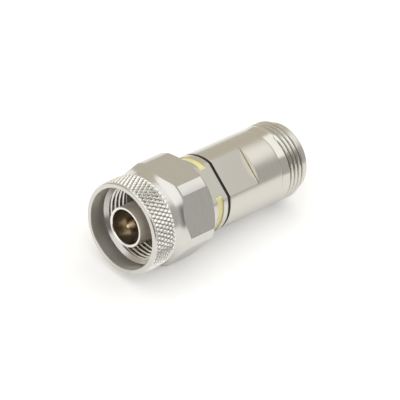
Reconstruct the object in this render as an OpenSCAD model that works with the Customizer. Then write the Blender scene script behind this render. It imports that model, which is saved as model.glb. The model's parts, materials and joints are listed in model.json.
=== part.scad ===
// Straight coaxial adapter with a screw-on plug at one end and a threaded jack at the other.
// The axis lies along X, with the plug towards -X and the jack towards +X.
// The origin is on the axis, at the front of the plug's outer contact.
// One flat of the coupling nut faces straight down, as the adapter lies on a table.

/* [Coaxial line] */
// Bore of the outer conductor
line_bore_d = 7; // [6.6:0.05:7.4]
// Diameter of the inner conductor
line_rod_d = 3.04; // [2.8:0.02:3.3]
// Thickness of a support bead
bead_w = 2.4; // [1.6:0.1:3]
// Distance of the plug's bead behind the outer contact
bead_setback = 0.4; // [0.2:0.1:0.8]
// Distance of the jack's bead in front of the jack's reference plane
bead_lead = 4.7; // [3:0.1:6]
// Diameter of the spigots that join the pieces of the inner conductor
spigot_d = 2; // [1.6:0.1:2.3]
// Depth of a spigot in its socket
spigot_depth = 1.2; // [0.8:0.1:1.8]

/* [Plug contacts] */
// Wall of the outer contact's tube
contact_wall = 0.5; // [0.4:0.02:0.6]
// Bare length of the tube, from its front to its base
contact_reach = 8.9; // [8.2:0.1:9.5]
// Height of the outer contact's base above the tube
contact_step = 0.6; // [0.4:0.05:0.9]
// Depth of the base in the plug body
contact_seat = 1.4; // [1:0.1:2]
// Chamfer in the mouth of the tube
contact_chamfer = 0.12; // [0.05:0.01:0.2]
// Diameter of the pin
pin_d = 1.65; // [1.5:0.05:1.8]
// Distance of the pin's tip behind the front of the outer contact
pin_setback = 0.5; // [0.2:0.1:2]
// Length of the pin's tapered nose
nose_len = 1.3; // [1:0.1:1.8]
// Diameter of the nose's round tip
nose_tip_d = 0.8; // [0.6:0.05:1]
// Distance of the pin's shoulder behind the front of the outer contact
pin_shoulder = 5.3; // [5:0.1:6]
// Outer diameter of the face gasket
gasket_d = 13.2; // [12:0.1:13.6]
// Thickness of the face gasket
gasket_w = 1.25; // [0.8:0.05:1.5]

/* [Threads] */
// Major diameter of both coupling threads
thread_d = 15.88; // [15.6:0.02:16]
// Turns of both threads in an inch
thread_tpi = 24; // [20:1:28]
// Width of the flat bottom of a thread groove
thread_flat = 0.16; // [0.1:0.01:0.2]
// Depth of the nut's thread, from the major diameter to its crests
nut_thread_depth = 0.52; // [0.4:0.02:0.6]
// Depth of the jack's thread, from the major diameter to its roots
jack_thread_depth = 0.64; // [0.5:0.02:0.66]

/* [Coupling nut] */
// Distance of the nut's front ahead of the outer contact
nut_lead = 1.1; // [0.6:0.1:1.8]
// Radial gap between a mating thread and the smooth entry in front of the nut's thread
entry_gap = 0.26; // [0.1:0.02:0.4]
// Depth of the smooth entry
entry_depth = 3.5; // [2.5:0.1:4.5]
// Width of the nut's flat front face
nut_face_w = 0.65; // [0.4:0.05:0.8]
// Width of the chamfer behind the front face
nut_face_chamfer = 0.3; // [0.2:0.05:0.6]
// Wall of the nut under the knurl's grooves
nut_wall = 0.81; // [0.7:0.01:1.2]
// Depth of the smooth bands beside the knurl below its points
nut_band_sink = 0.2; // [0.1:0.02:0.3]
// Width of the smooth band behind the knurl
nut_band_w = 1.65; // [1.2:0.05:3]
// Radius of the fillet between the band and the cone
nut_fillet_r = 1.2; // [0.3:0.1:1.6]
// Width of the cone that rises to the hexagon's corners
cone_w = 1.5; // [0.8:0.05:2]
// Size of the hexagon across its flats
hex_across_flats = 19; // [18.8:0.1:20]
// Diameter of the round strips that are left at the hexagon's corners
hex_corner_d = 20.8; // [20:0.1:21.6]
// Width of the corner strips
hex_w = 6.35; // [5:0.1:8]
// Width of the chamfer behind the hexagon
hex_chamfer = 1.3; // [0.9:0.05:1.5]
// Width of the thread run-out in front of the gasket
thread_runout = 0.3; // [0.1:0.05:0.6]
// Radial gap between a mating thread and the relief behind the nut's thread
relief_gap = 0.16; // [0.05:0.01:0.3]

/* [Knurl] */
// Number of diamonds round the nut
knurl_count = 64; // [40:1:80]
// Number of diamonds along the nut
knurl_rows = 3; // [2:1:4]
// Width of the knurl
knurl_w = 4.8; // [3.6:0.1:6]
// Depth of the knurl
knurl_depth = 0.34; // [0.2:0.02:0.36]

/* [Retaining ring] */
// Thickness of the ring
ring_w = 1; // [0.8:0.05:1.2]
// Depth of the ring in the hub
ring_depth = 0.5; // [0.3:0.05:0.7]
// Height of the ring above the hub
ring_height = 0.55; // [0.3:0.05:0.7]
// Width of the opening in the ring
ring_opening = 3; // [2:0.2:5]
// Length of the nut behind the ring
nut_tail = 1.7; // [1.2:0.1:2.2]
// Wall of the nut in front of the ring
nut_lip_wall = 0.6; // [0.4:0.05:0.9]

/* [Plug body] */
// Diameter of the hub that the nut turns on
hub_d = 13.6; // [13.4:0.1:14]
// Width of the flange behind the nut
flange_w = 4.9; // [4.2:0.1:6]
// Distance between the nut and the flange
nut_gap = 0.2; // [0.1:0.05:0.4]
// Diameter of the joint between the two bodies
joint_d = 11; // [10:0.1:11.6]
// Wall in front of the joint, inside the flange
joint_wall = 0.8; // [0.6:0.1:1.2]
// Width of the coloured marker band
marker_w = 1.55; // [1:0.05:2]
// Width of the flange's rim behind the marker band
marker_rim = 1.25; // [0.8:0.05:1.6]
// Depth of the groove that holds the marker band
marker_groove_depth = 0.4; // [0.3:0.02:0.5]
// Depth of the marker band's surface below the flange
marker_sink = 0.25; // [0.1:0.01:0.26]

/* [Jack body] */
// Depth of the body and the flange below the jack's thread
body_sink = 0.04; // [0:0.02:0.2]
// Length of the body, from the seam to its end edge
body_len = 14.9; // [13.5:0.1:18]
// Size across the wrench flats
wrench_across_flats = 13.8; // [13.4:0.1:14.4]
// Length of the wrench flats on the jack body
wrench_len = 8.1; // [6:0.1:10]
// Turn of the wrench flats about the axis, from level
wrench_turn = 33; // [0:1:180]
// Width of the seam between the two bodies
seam_w = 0.7; // [0.5:0.05:1]
// Depth of the seam ring below the bodies
seam_sink = 0.15; // [0.05:0.01:0.3]
// Width of the neck, which slopes from the body's end up to the thread
neck_w = 2.3; // [1.2:0.1:3]
// Depth of the neck's foot below the thread
neck_depth = 0.4; // [0.3:0.02:0.8]
// Length of the jack's thread, with the chamfer behind it
jack_thread_len = 4.3; // [3.6:0.1:6]
// Depth of the plain end below the thread
pilot_depth = 0.74; // [0.6:0.02:1]
// Length of the plain end
pilot_len = 1.5; // [1.2:0.1:2.6]
// Chamfer on the plain end
pilot_chamfer = 0.45; // [0.2:0.05:0.7]
// Chamfer on the edges of the bodies
edge_chamfer = 0.2; // [0.1:0.05:0.3]

/* [Jack contacts] */
// Radial gap between the jack's contact bore and a mating outer contact
mouth_gap = 0.05; // [0.02:0.01:0.1]
// Depth of the jack's reference plane behind its end
mouth_depth = 9.1; // [8.8:0.05:9.4]
// Chamfer in the jack's mouth
mouth_chamfer = 0.5; // [0.3:0.05:0.7]
// Distance of the socket's front ahead of the reference plane
socket_reach = 5.25; // [5:0.05:5.5]
// Radial gap between the socket and a mating pin
pin_gap = 0.005; // [0:0.005:0.02]
// Depth of the socket's bore
socket_depth = 5; // [4:0.1:6]
// Number of slots in the socket
socket_slots = 4; // [2:1:6]
// Width of a slot
slot_w = 0.2; // [0.1:0.02:0.3]
// Length of a slot
slot_len = 4; // [3:0.1:4.5]
// Chamfer on the socket's edges
socket_chamfer = 0.2; // [0.1:0.02:0.3]

/* [Clearances] */
// Radial gap round a piece that is pressed or screwed into another
seat_gap = 0.02; // [0.01:0.01:0.05]
// Radial gap between the nut and the hub that it turns on
run_gap = 0.05; // [0.02:0.01:0.1]
// Gap round the retaining ring in its grooves
ring_gap = 0.08; // [0.05:0.01:0.1]
// Gap at the end of a spigot
end_gap = 0.2; // [0.1:0.05:0.4]

/* [Hidden] */
$fn = 96;

steel = [0.74, 0.73, 0.70];
bright_steel = [0.82, 0.81, 0.79];
gold = [0.80, 0.66, 0.38];
white_plastic = [0.93, 0.92, 0.88];
black_rubber = [0.06, 0.06, 0.06];
grey_rubber = [0.32, 0.31, 0.30];
yellow_enamel = [0.93, 0.85, 0.45];

// How far a cutting shape reaches past what it cuts
cut = 1;
// Segments in a rounded corner of a profile
arc_steps = 6;
// Gap at each end of the knurl, and depth of the nut's core below the knurl's grooves
knurl_relief = 0.1;
// How far the knurl is rooted in the nut's core
knurl_root = 0.3;
// Slope of a thread's flanks, from square to the axis
thread_flank = 30;
// Millimetres in an inch
inch = 25.4;
thread_pitch = inch / thread_tpi;

// Places along the axis, from the plug to the jack
gasket_front = contact_reach;
hub_front = gasket_front + gasket_w;
contact_back = hub_front + contact_seat;
plug_bead_front = contact_back + bead_setback;
plug_bead_back = plug_bead_front + bead_w;

nut_front = -nut_lead;
knurl_front = nut_front + nut_face_chamfer + knurl_relief;
knurl_back = knurl_front + knurl_w;
cone_front = knurl_back + knurl_relief + nut_band_w;
hex_front = cone_front + cone_w;
hex_back = hex_front + hex_w;
nut_back = hex_back + hex_chamfer;
entry_back = nut_front + entry_depth;
nut_thread_back = gasket_front - thread_runout;
ring_back = nut_back - nut_tail;
ring_front = ring_back - ring_w;
lip_front = ring_front - ring_gap - nut_lip_wall;

flange_front = nut_back + nut_gap;
flange_back = flange_front + flange_w;
joint_front = flange_front + joint_wall;
marker_back = flange_back - marker_rim;
marker_front = marker_back - marker_w;

jack_shoulder = flange_back + seam_w;
body_end = jack_shoulder + body_len;
jack_thread_front = body_end + neck_w;
jack_thread_back = jack_thread_front + jack_thread_len;
jack_end = jack_thread_back + pilot_len;
jack_reference = jack_end - mouth_depth;
socket_front = jack_reference + socket_reach;
jack_bead_back = jack_reference - bead_lead;
jack_bead_front = jack_bead_back - bead_w;

// Diameters that follow from others
contact_d = line_bore_d + 2 * contact_wall;
contact_base_d = contact_d + 2 * contact_step;
entry_d = thread_d + 2 * entry_gap;
relief_d = thread_d + 2 * relief_gap;
nut_thread_bore_d = thread_d - 2 * nut_thread_depth;
nut_face_d = entry_d + 2 * nut_face_w;
knurl_root_d = entry_d + 2 * nut_wall;
nut_core_d = knurl_root_d - 2 * knurl_relief;
knurl_d = knurl_root_d + 2 * knurl_depth;
nut_band_d = knurl_d - 2 * nut_band_sink;
ring_bore_d = hub_d - 2 * ring_depth;
ring_d = hub_d + 2 * ring_height;
ring_groove_d = ring_bore_d - 2 * ring_gap;
body_d = thread_d - 2 * body_sink;
marker_groove_d = body_d - 2 * marker_groove_depth;
marker_d = body_d - 2 * marker_sink;
neck_d = thread_d - 2 * neck_depth;
pilot_d = thread_d - 2 * pilot_depth;
mouth_d = contact_d + 2 * mouth_gap;
socket_bore_d = pin_d + 2 * pin_gap;

// A turned solid from a closed profile of [radius, place along the axis] points
module turned(profile) {
    rotate([0, 90, 0])
        rotate_extrude(convexity = 8)
            polygon(profile);
}

// A plain round bar between two places along the axis
module bar(from, to, d) {
    translate([from, 0, 0])
        rotate([0, 90, 0])
            cylinder(h = to - from, d = d);
}

// A plain ring between two places along the axis
module ring(from, to, bore_d, outer_d) {
    difference() {
        bar(from, to, outer_d);
        bar(from - cut, to + cut, bore_d);
    }
}

// Grooves of a thread, as closed rings one pitch apart, cut from just past its crests to its roots
module thread_grooves(first, count, crest_r, root_r) {
    start_r = crest_r + (crest_r - root_r) / 8;
    foot = thread_flat / 2;
    mouth = foot + abs(start_r - root_r) * tan(thread_flank);
    for (k = [0 : count - 1])
        let (middle = first + k * thread_pitch)
            turned([[root_r, middle - foot], [root_r, middle + foot],
                    [start_r, middle + mouth], [start_r, middle - mouth]]);
}

// Two blocks that cut wrench flats, as far apart as the flats, between two places along the axis
module wrench_cutters(from, to, across) {
    reach = body_d;
    for (side = [0, 180])
        rotate([wrench_turn + side, 0, 0])
            translate([from, -reach / 2, across / 2])
                cube([to - from, reach, reach]);
}

// Points of an arc of a profile, about a centre given as [radius, place]
function profile_arc(centre, r, start, end) =
    [for (k = [0 : arc_steps])
        let (a = start + (end - start) * k / arc_steps)
            centre + r * [cos(a), sin(a)]];

// Knurl: a ring of four-sided points, set corner to corner, with flat ends inside the nut's run-out grooves.
// Points of the net alternate between the tips of the diamonds and the crossings of the grooves.
module knurl() {
    around = 2 * knurl_count;
    along = 2 * knurl_rows;
    tip_r = knurl_d / 2;
    root_r = knurl_root_d / 2;
    inner_r = nut_core_d / 2 - knurl_root;
    function is_tip(i, j) = (i + j) % 2 == 0 && j > 0 && j < along;
    function on_ring(i, j, r) =
        let (a = 360 * i / around)
            [knurl_front + knurl_w * j / along, r * sin(a), r * cos(a)];
    outer_points = [for (j = [0 : along], i = [0 : around - 1])
        on_ring(i, j, is_tip(i, j) ? tip_r : root_r)];
    inner_points = [for (j = [0, along], i = [0 : around - 1]) on_ring(i, j, inner_r)];
    inner_start = len(outer_points);
    function outer(i, j) = j * around + i % around;
    function inner(i, end) = inner_start + end * around + i % around;
    // Each square is folded along the groove between its two low corners
    skin = [for (j = [0 : along - 1], i = [0 : around - 1])
        each (i + j) % 2 == 0
            ? [[outer(i, j), outer(i + 1, j), outer(i, j + 1)],
               [outer(i + 1, j), outer(i + 1, j + 1), outer(i, j + 1)]]
            : [[outer(i, j), outer(i + 1, j), outer(i + 1, j + 1)],
               [outer(i, j), outer(i + 1, j + 1), outer(i, j + 1)]]];
    wall = [for (i = [0 : around - 1])
        each [[inner(i, 0), inner(i, 1), inner(i + 1, 1)],
              [inner(i, 0), inner(i + 1, 1), inner(i + 1, 0)]]];
    front = [for (i = [0 : around - 1])
        each [[outer(i, 0), inner(i, 0), inner(i + 1, 0)],
              [outer(i, 0), inner(i + 1, 0), outer(i + 1, 0)]]];
    back = [for (i = [0 : around - 1])
        each [[outer(i, along), outer(i + 1, along), inner(i + 1, 1)],
              [outer(i, along), inner(i + 1, 1), inner(i, 1)]]];
    polyhedron(concat(outer_points, inner_points), concat(skin, wall, front, back), convexity = 4);
}

// Nut: knurled sleeve with a hexagon behind it, smooth entry, thread bore, relief and a lip for the ring
module coupling_nut() {
    face_r = nut_face_d / 2;
    band_r = nut_band_d / 2;
    core_r = nut_core_d / 2;
    corner_r = hex_corner_d / 2;
    thread_r = nut_thread_bore_d / 2;
    entry_r = entry_d / 2;
    relief_r = relief_d / 2;
    lip_r = hub_d / 2 + run_gap;
    groove_r = ring_d / 2 + ring_gap;
    // The fillet is tangent to the band and to the cone
    cone_angle = atan2(corner_r - band_r, cone_w);
    fillet_start = cone_front - nut_fillet_r * tan(cone_angle / 2);
    fillet = profile_arc([band_r + nut_fillet_r, fillet_start], nut_fillet_r, 180, 180 - cone_angle);
    // The thread starts behind the slope that leads into it
    thread_front = entry_back + entry_r - thread_r;
    thread_turns = floor((nut_thread_back - thread_front) / thread_pitch);
    profile = concat(
        [[entry_r, nut_front], [face_r, nut_front],
         [band_r, nut_front + nut_face_chamfer],
         [core_r, nut_front + nut_face_chamfer],
         [core_r, knurl_back + knurl_relief],
         [band_r, knurl_back + knurl_relief]],
        fillet,
        [[corner_r, hex_front], [corner_r, hex_back],
         [corner_r - hex_chamfer, nut_back],
         [lip_r, nut_back],
         [lip_r, ring_back + ring_gap], [groove_r, ring_back + ring_gap],
         [groove_r, ring_front - ring_gap], [lip_r, ring_front - ring_gap],
         [lip_r, lip_front], [relief_r, lip_front],
         [relief_r, nut_thread_back], [thread_r, nut_thread_back - relief_r + thread_r],
         [thread_r, thread_front], [entry_r, entry_back]]);
    color(bright_steel) {
        difference() {
            turned(profile);
            for (k = [0 : 5])
                rotate([60 * k, 0, 0])
                    translate([cone_front - cut, -corner_r, hex_across_flats / 2])
                        cube([nut_back - cone_front + 2 * cut, hex_corner_d, corner_r]);
            thread_grooves(thread_front + thread_pitch / 2, thread_turns, thread_r, thread_d / 2);
        }
        knurl();
    }
}

// Spring ring that holds the nut on the hub, open at the bottom
module retaining_ring() {
    color(steel)
        difference() {
            ring(ring_front, ring_back, ring_bore_d, ring_d);
            translate([ring_front - cut, -ring_opening / 2, -ring_d])
                cube([ring_w + 2 * cut, ring_opening, ring_d]);
        }
}

// Flat ring that the mating jack's end presses on
module face_gasket() {
    color(grey_rubber)
        ring(gasket_front, hub_front, contact_base_d + 2 * seat_gap, gasket_d);
}

// Plug body: hub for the nut, flange with wrench flats and a groove for the marker band
module plug_body() {
    line_r = line_bore_d / 2;
    seat_r = contact_base_d / 2 + seat_gap;
    joint_r = joint_d / 2 + seat_gap;
    hub_r = hub_d / 2;
    body_r = body_d / 2;
    ring_floor_r = ring_groove_d / 2;
    marker_floor_r = marker_groove_d / 2;
    profile = [
        [seat_r, hub_front], [hub_r - edge_chamfer, hub_front], [hub_r, hub_front + edge_chamfer],
        [hub_r, ring_front - seat_gap], [ring_floor_r, ring_front - seat_gap],
        [ring_floor_r, ring_back + seat_gap], [hub_r, ring_back + seat_gap],
        [hub_r, flange_front], [body_r - edge_chamfer, flange_front],
        [body_r, flange_front + edge_chamfer],
        [body_r, marker_front], [marker_floor_r, marker_front],
        [marker_floor_r, marker_back], [body_r, marker_back],
        [body_r, flange_back - edge_chamfer / 2], [body_r - edge_chamfer / 2, flange_back],
        [joint_r, flange_back], [joint_r, joint_front],
        [line_r, joint_front], [line_r, contact_back], [seat_r, contact_back]];
    color(steel)
        difference() {
            turned(profile);
            wrench_cutters(flange_front - nut_gap / 2, flange_back + cut, wrench_across_flats);
        }
}

// Thin tube that carries the outer conductor into the mating jack, on a thicker base
module outer_contact() {
    tube_r = contact_d / 2;
    base_r = contact_base_d / 2;
    line_r = line_bore_d / 2;
    color(bright_steel)
        turned([
            [line_r + contact_chamfer, 0], [tube_r, 0], [tube_r, contact_reach],
            [base_r, contact_reach], [base_r, contact_back],
            [line_r, contact_back], [line_r, contact_chamfer]]);
}

// Pin with a tapered nose, its shoulder, and the spigot that passes through the plug's bead
module plug_pin() {
    pin_r = pin_d / 2;
    rod_r = line_rod_d / 2;
    tip_r = nose_tip_d / 2;
    // The round tip is tangent to the taper
    taper_w = nose_len - tip_r;
    tip_end = 90 - atan2(pin_r, taper_w) - acos(tip_r / norm([pin_r, taper_w]));
    tip = profile_arc([0, pin_setback + tip_r], tip_r, -90, tip_end);
    color(gold)
        turned(concat(tip, [
            [pin_r, pin_setback + nose_len],
            [pin_r, pin_shoulder], [rod_r, pin_shoulder], [rod_r, plug_bead_front],
            [spigot_d / 2, plug_bead_front], [spigot_d / 2, plug_bead_back + spigot_depth],
            [0, plug_bead_back + spigot_depth]]));
}

// Plastic disc that centres the inner conductor in the line
module bead(from) {
    color(white_plastic)
        ring(from, from + bead_w, spigot_d + 2 * seat_gap, line_bore_d - 2 * seat_gap);
}

module plug_bead() {
    bead(plug_bead_front);
}

module jack_bead() {
    bead(jack_bead_front);
}

// Rod between the two beads, with a socket for the pin's spigot and a spigot of its own
module inner_rod() {
    socket_r = spigot_d / 2 + seat_gap;
    socket_floor = plug_bead_back + spigot_depth + end_gap;
    rod_r = line_rod_d / 2;
    color(gold)
        turned([
            [socket_r, plug_bead_back], [rod_r, plug_bead_back], [rod_r, jack_bead_front],
            [spigot_d / 2, jack_bead_front], [spigot_d / 2, jack_bead_back + spigot_depth],
            [0, jack_bead_back + spigot_depth], [0, socket_floor], [socket_r, socket_floor]]);
}

// Enamel in the flange's groove, in two arcs because the wrench flats cut through it
module marker_band() {
    color(yellow_enamel)
        difference() {
            ring(marker_front, marker_back, marker_groove_d + 2 * seat_gap, marker_d);
            wrench_cutters(marker_front - cut, marker_back + cut, wrench_across_flats);
        }
}

// Rubber ring in the seam between the two bodies, with the same flats
module seam_ring() {
    color(black_rubber)
        difference() {
            ring(flange_back, jack_shoulder, joint_d + 2 * seat_gap, body_d - 2 * seam_sink);
            wrench_cutters(flange_back - cut, jack_shoulder + cut, wrench_across_flats - 2 * seam_sink);
        }
}

// Jack body: joint spigot, round body with wrench flats, sloping neck, thread, plain end and contact bore
module jack_body() {
    line_r = line_bore_d / 2;
    joint_r = joint_d / 2;
    body_r = body_d / 2;
    neck_r = neck_d / 2;
    thread_r = thread_d / 2;
    pilot_r = pilot_d / 2;
    mouth_r = mouth_d / 2;
    thread_turns = floor(jack_thread_len / thread_pitch);
    profile = [
        [line_r, joint_front], [joint_r - edge_chamfer, joint_front],
        [joint_r, joint_front + edge_chamfer], [joint_r, jack_shoulder],
        [body_r - edge_chamfer / 2, jack_shoulder], [body_r, jack_shoulder + edge_chamfer / 2],
        [body_r, body_end - edge_chamfer], [body_r - edge_chamfer, body_end],
        [neck_r, body_end], [thread_r, jack_thread_front],
        [thread_r, jack_thread_back - thread_r + pilot_r],
        [pilot_r, jack_thread_back], [pilot_r, jack_end - pilot_chamfer],
        [pilot_r - pilot_chamfer, jack_end], [mouth_r + mouth_chamfer, jack_end],
        [mouth_r, jack_end - mouth_chamfer], [mouth_r, jack_reference],
        [line_r, jack_reference]];
    color(steel)
        difference() {
            turned(profile);
            wrench_cutters(jack_shoulder, jack_shoulder + wrench_len, wrench_across_flats);
            thread_grooves(jack_thread_front + thread_pitch, thread_turns - 1, thread_r,
                thread_r - jack_thread_depth);
        }
}

// Slotted socket for the mating pin, with a socket for the rod's spigot behind it
module jack_socket() {
    rod_r = line_rod_d / 2;
    bore_r = socket_bore_d / 2;
    back_r = spigot_d / 2 + seat_gap;
    back_floor = jack_bead_back + spigot_depth + end_gap;
    bore_floor = socket_front - socket_depth;
    profile = [
        [back_r, jack_bead_back], [rod_r, jack_bead_back],
        [rod_r, socket_front - socket_chamfer], [rod_r - socket_chamfer, socket_front],
        [bore_r + socket_chamfer, socket_front], [bore_r, socket_front - socket_chamfer],
        [bore_r, bore_floor], [0, bore_floor], [0, back_floor], [back_r, back_floor]];
    color(gold)
        difference() {
            turned(profile);
            for (k = [0 : socket_slots - 1])
                rotate([45 + 360 * k / socket_slots, 0, 0])
                    translate([socket_front - slot_len, -slot_w / 2, 0])
                        cube([slot_len + cut, slot_w, line_rod_d]);
        }
}

coupling_nut();
retaining_ring();
face_gasket();
plug_body();
outer_contact();
plug_pin();
plug_bead();
inner_rod();
marker_band();
seam_ring();
jack_body();
jack_bead();
jack_socket();
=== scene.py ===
import json

import bpy
import numpy as np
from bpy.props import FloatProperty, FloatVectorProperty, IntProperty, PointerProperty
from mathutils import Matrix, Vector


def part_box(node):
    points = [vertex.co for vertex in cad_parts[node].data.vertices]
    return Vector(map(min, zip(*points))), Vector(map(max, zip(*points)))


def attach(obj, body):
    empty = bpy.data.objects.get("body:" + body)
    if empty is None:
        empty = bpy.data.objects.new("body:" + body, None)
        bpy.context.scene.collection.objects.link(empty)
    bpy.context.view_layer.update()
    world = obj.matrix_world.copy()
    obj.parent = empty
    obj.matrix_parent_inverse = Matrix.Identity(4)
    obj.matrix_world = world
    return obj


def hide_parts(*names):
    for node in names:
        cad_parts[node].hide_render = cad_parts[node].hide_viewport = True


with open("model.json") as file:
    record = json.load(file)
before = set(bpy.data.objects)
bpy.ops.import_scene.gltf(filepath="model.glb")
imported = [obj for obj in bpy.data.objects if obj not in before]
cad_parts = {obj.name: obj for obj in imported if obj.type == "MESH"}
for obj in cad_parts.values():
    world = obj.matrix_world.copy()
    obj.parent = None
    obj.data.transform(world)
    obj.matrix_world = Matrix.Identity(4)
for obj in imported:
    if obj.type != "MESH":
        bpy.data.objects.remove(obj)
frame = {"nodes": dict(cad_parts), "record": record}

bl_info = {
    "name": "Coaxial adapter",
    "version": (1, 0, 0),
    "blender": (4, 5, 0),
    "location": "3D View > Sidebar > Adapter",
    "description": "Gives the packed coaxial adapter its threads, knurl and finishes, and sets its stage",
    "category": "Object",
}

MM = 0.001
TURN = 2 * np.pi
# Points nearer to each other than this are one
TOUCHING = 1e-5 * MM
# A point nearer to a plane than this lies on it
CLOSE = 1e-3 * MM
# Faces that meet at a wider angle than this keep a crisp edge between them
CRISP_EDGE = np.radians(9)
# The same for copies of the frame's own, coarser meshes
COPY_EDGE = np.radians(25)

# Columns of points round the axis
BODY_COLUMNS = 480
SEAM_COLUMNS = 360
TUBE_COLUMNS = 256
GASKET_COLUMNS = 240
MARKER_COLUMNS = 160
PIN_COLUMNS = 96
FLOOR_COLUMNS = 64
# Steps of points across a diamond of the knurl, and along one turn of each thread
KNURL_STEPS = 8
NUT_TURN_STEPS = 22
JACK_TURN_STEPS = 20
# Points along each round or sloping stretch of a profile
FACE_EDGE_POINTS = 13
HOLLOW_POINTS = 24
REAR_SLOPE_POINTS = 8
BODY_END_POINTS = 8
TIP_POINTS = 16

# Feed of the lathe, which is the distance between its marks
FINE_FEED = 0.12 * MM
SPRING_FEED = 0.2 * MM
FEED = 0.25 * MM
COARSE_FEED = 0.3 * MM
# Roughness of the smoothest and the roughest places of each steel surface
BURNISHED = (0.1, 0.16)
POLISHED = (0.14, 0.2)
FINE_MILLED = (0.16, 0.22)
SATIN = (0.17, 0.26)
FINE_BORED = (0.18, 0.26)
CHAMFERED = (0.18, 0.28)
MILLED = (0.2, 0.28)
FINE_TURNED = (0.26, 0.36)
NICKED = (0.3, 0.4)
DRAWN = (0.3, 0.45)
BORED = (0.4, 0.55)
# Painted shade and highlight of grooved steel: share of a groove's depth over which its painted shade
# lightens, the darkest tone painted at the groove's bottom and the lightest tone painted on the crests
KNURLED_PAINTED_SHADING = 0.42, 0.08, 1.3
TAPPED_PAINTED_SHADING = 0.5, 0.5, 1.2
THREADED_PAINTED_SHADING = 0.7, 0.4, 1.05

# Width of the grain of the moulded rubber
SEAM_GRAIN = 0.12 * MM
GASKET_GRAIN = 0.15 * MM
# Place of the floor's middle along the axis
FLOOR_MIDDLE = 20 * MM

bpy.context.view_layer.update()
BODIES = {node: body for body, nodes in frame["record"]["behaviour"]["bodies"].items() for node in nodes}


def linear(code):
    """Linear colour of an sRGB hex value: each part over 12.92 near black, else raised to the power 2.4."""
    part = np.array([int(code[i:i + 2], 16) for i in (1, 3, 5)]) / 255
    return tuple(np.where(part <= 0.04045, part / 12.92, ((part + 0.055) / 1.055) ** 2.4))


def size(name, description, millimetres):
    """Length property, with its default in millimetres."""
    return FloatProperty(name=name, description=description, default=millimetres * MM, min=0,
                         precision=5, unit="LENGTH")


def number(name, description, count):
    """Whole number property."""
    return IntProperty(name=name, description=description, default=count, min=1)


def colour(name, description, code):
    """Colour property, with its default as an sRGB hex value."""
    return FloatVectorProperty(name=name, description=description, default=linear(code), min=0, max=1,
                               subtype="COLOR")


def angle(name, description, degrees):
    """Angle property, with its default in degrees."""
    return FloatProperty(name=name, description=description, default=np.radians(degrees), subtype="ANGLE")


# Properties

class AdapterNutSizes(bpy.types.PropertyGroup):
    """Coupling nut; its ends, flats and corners come from the frame"""
    edge: size("Edge", "Radius of the fine edges", 0.06)
    face_radius: size("Face radius", "Outer radius of the flat front face", 8.85)
    face_edge: size("Face edge", "Radius of the round edge between the front face and the knurl", 0.3)
    band_radius: size("Band radius", "Radius of the smooth band behind the knurl", 9.15)
    knurl_runout: size("Knurl run-out", "Smooth width at each end of the knurl", 0.1)
    knurl_fade: size("Knurl fade", "Width over which the knurl dies away at each end", 0.35)
    knurl_width: size("Knurl width", "Width of the knurled sleeve", 4.8)
    knurl_root: size("Knurl root", "Radius at the bottom of the knurl", 8.92)
    knurl_depth: size("Knurl depth", "Height of the knurl's points", 0.43)
    knurl_count: number("Knurl count", "Points in one ring of the knurl", 64)
    knurl_rows: number("Knurl rows", "Diamonds across the knurl's width", 3)
    strip_start: size("Strip start", "Distance from the nut's front to the hexagon's corner strips", 8.45)
    hollow: size("Hollow", "Radius of the hollow between the band and the hexagon", 2.0)
    rear_chamfer: size("Rear chamfer", "Width of the slope behind the hexagon", 1.3)
    entry_radius: size("Entry radius", "Radius of the smooth entry in front of the thread", 8.2)
    entry_depth: size("Entry depth", "Depth of the smooth entry", 3.5)
    crest_radius: size("Crest radius", "Radius of the inner thread's crests", 7.42)
    thread_start: angle("Thread start", "Turn from the front crest to the thread's first groove", 108)
    relief_radius: size("Relief radius", "Radius of the plain space behind the thread", 8.1)
    relief_depth: size("Relief depth", "Distance from the nut's front to the plain space", 9.7)
    lip_radius: size("Lip radius", "Radius of the bore that runs on the plug's hub", 6.85)
    lip_width: size("Lip width", "Width of the lip behind the plain space", 3.38)
    groove_radius: size("Ring groove", "Radius of the groove for the retaining ring", 7.43)
    ring_gap: size("Ring gap", "Space on each side of the retaining ring", 0.08)


class AdapterThreadSizes(bpy.types.PropertyGroup):
    """Screw thread of the nut and the jack"""
    pitch: size("Pitch", "Distance between two turns, for 24 turns an inch", 1.0583)
    flat: size("Groove bottom", "Width of the flat bottom of a groove", 0.16)
    flank: angle("Flank", "Slope of the sides of a groove, from square to the axis", 30)
    nut_depth: size("Nut depth", "Depth of the nut's thread from crest to root", 0.52)
    jack_depth: size("Jack depth", "Depth of the jack's thread from crest to root", 0.64)


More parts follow.
